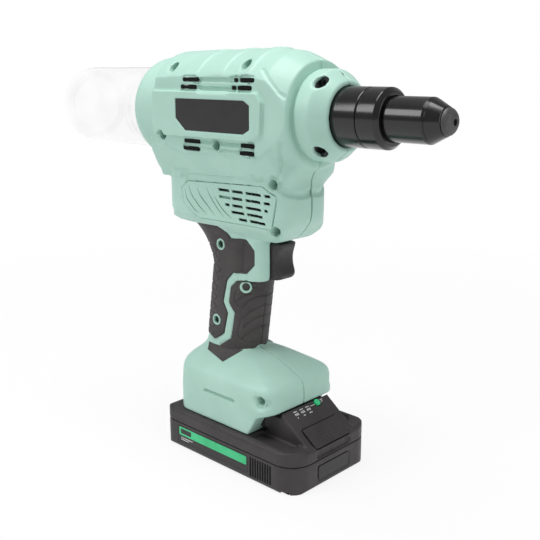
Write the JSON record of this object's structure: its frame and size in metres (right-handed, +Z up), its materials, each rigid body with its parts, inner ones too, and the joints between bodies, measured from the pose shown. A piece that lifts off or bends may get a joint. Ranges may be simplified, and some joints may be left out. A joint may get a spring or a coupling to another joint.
{
  "type": "battery rivet tool",
  "caption": "Pistol-grip battery rivet tool with a stepped nose, clear collector, trigger and a slide-on battery as its foot.",
  "frame": {"origin": "centre of the battery's flat underside", "axes": "+X towards the nose, +Z up, the pulling axis is parallel to X"},
  "size_m": [0.3111, 0.075, 0.2603],
  "materials": {
    "mint_shell": "fine matte moulded",
    "grip_rubber": "soft matte",
    "dark_steel": "blackened",
    "dark_plate": "satin",
    "black_nose": "gloss black",
    "tip_steel": "satin dark",
    "cast_metal": "cast",
    "bright_steel": "ground",
    "copper_wire": "wire",
    "black_plastic": "matte",
    "seal_rubber": "soft",
    "clear_plastic": "clear",
    "trigger_plastic": "matte",
    "battery_plastic": "fine matte",
    "cell_wrap": "shrink wrap",
    "board": "coated",
    "green_plastic": "gloss"
  },
  "bodies": {
    "tool": {"housing_right": "mint_shell", "housing_left": "mint_shell", "grip_right": "grip_rubber", "grip_left": "grip_rubber", "housing_screws": "dark_steel", "side_plate_right": "dark_plate", "side_plate_left": "dark_plate", "front_sleeve": "black_nose", "lock_ring": "black_nose", "nose_sleeve": "black_nose", "nose_cone": "black_nose", "nosepiece": "tip_steel", "gear_case": "cast_metal", "gear_plate": "cast_metal", "gear_pillars": "bright_steel", "rear_bearing": "bright_steel", "front_bearing": "bright_steel", "thrust_bearing": "bright_steel", "idler_pin": "bright_steel", "gearbox_can": "cast_metal", "shaft_bearing": "bright_steel", "stator": "bright_steel", "windings": "copper_wire", "motor_bearing": "bright_steel", "guide_rods": "bright_steel", "guide_plate": "cast_metal", "mandrel_tube": "bright_steel", "collector_socket": "black_plastic", "seal_ring": "seal_rubber", "switch_box": "black_plastic", "trigger_spring": "bright_steel", "control_board": "board", "terminal_block": "black_plastic"},
    "nut": {"nut": "bright_steel", "nut_gear": "bright_steel"},
    "idler": {"idler_gear": "bright_steel"},
    "drive_gear": {"motor_gear": "bright_steel"},
    "rotor": {"rotor": "bright_steel", "fan": "black_plastic"},
    "spindle": {"spindle": "dark_steel", "guide_yoke": "cast_metal", "jaw_case": "bright_steel", "jaws": "dark_steel", "jaw_pusher": "bright_steel", "pusher_spring": "bright_steel"},
    "collector": {"collector": "clear_plastic"},
    "trigger": {"trigger": "trigger_plastic"},
    "battery": {"battery_lower": "battery_plastic", "battery_upper": "battery_plastic", "cells": "cell_wrap", "cell_holder": "black_plastic", "cell_straps": "bright_steel", "battery_board": "board", "battery_contacts": "copper_wire", "latch_spring": "bright_steel", "battery_panels": "dark_plate", "battery_screws": "dark_steel"},
    "latch": {"latch_button": "trigger_plastic"},
    "gauge": {"gauge_button": "green_plastic"}
  },
  "joints": [
    {"name": "nut_spin", "type": "hinge", "parent": "tool", "child": "nut", "pos_m": [0.013, 0, 0.222], "axis": [1, 0, 0], "range_deg": [0, 2250]},
    {"name": "spindle_pull", "type": "slide", "parent": "tool", "child": "spindle", "axis": [-1, 0, 0], "range_m": [0, 0.025]},
    {"name": "idler_spin", "type": "hinge", "parent": "tool", "child": "idler", "pos_m": [0.013, 0, 0.189], "axis": [1, 0, 0], "range_deg": [-4500, 0]},
    {"name": "drive_gear_spin", "type": "hinge", "parent": "tool", "child": "drive_gear", "pos_m": [0.013, 0, 0.17], "axis": [1, 0, 0], "range_deg": [0, 6188]},
    {"name": "rotor_spin", "type": "hinge", "parent": "tool", "child": "rotor", "pos_m": [-0.04, 0, 0.17], "axis": [1, 0, 0], "range_deg": [0, 24751]},
    {"name": "collector_pull", "type": "slide", "parent": "tool", "child": "collector", "axis": [-1, 0, 0], "range_m": [0, 0.017]},
    {"name": "trigger_pull", "type": "slide", "parent": "tool", "child": "trigger", "axis": [-1, 0, 0], "range_m": [0, 0.006], "stiffness_N_per_m": 600, "springref_m": -0.003, "deforming": ["trigger_spring"]},
    {"name": "battery_slide", "type": "slide", "parent": "tool", "child": "battery", "axis": [1, 0, 0], "range_m": [0, 0.045]},
    {"name": "latch_press", "type": "slide", "parent": "battery", "child": "latch", "axis": [-0.6, 0, -0.8], "range_m": [0, 0.0025], "stiffness_N_per_m": 900, "springref_m": -0.002, "deforming": ["latch_spring"]},
    {"name": "gauge_press", "type": "slide", "parent": "battery", "child": "gauge", "axis": [-0.6, 0, -0.8], "range_m": [0, 0.0006], "stiffness_N_per_m": 900, "springref_m": -0.001}
  ],
  "couplings": [
    {"joint": "spindle_pull", "follows": "nut_spin", "m_per_rad": 0.0006366},
    {"joint": "idler_spin", "follows": "nut_spin", "ratio": -2},
    {"joint": "drive_gear_spin", "follows": "nut_spin", "ratio": 2.75},
    {"joint": "rotor_spin", "follows": "nut_spin", "ratio": 11}
  ]
}
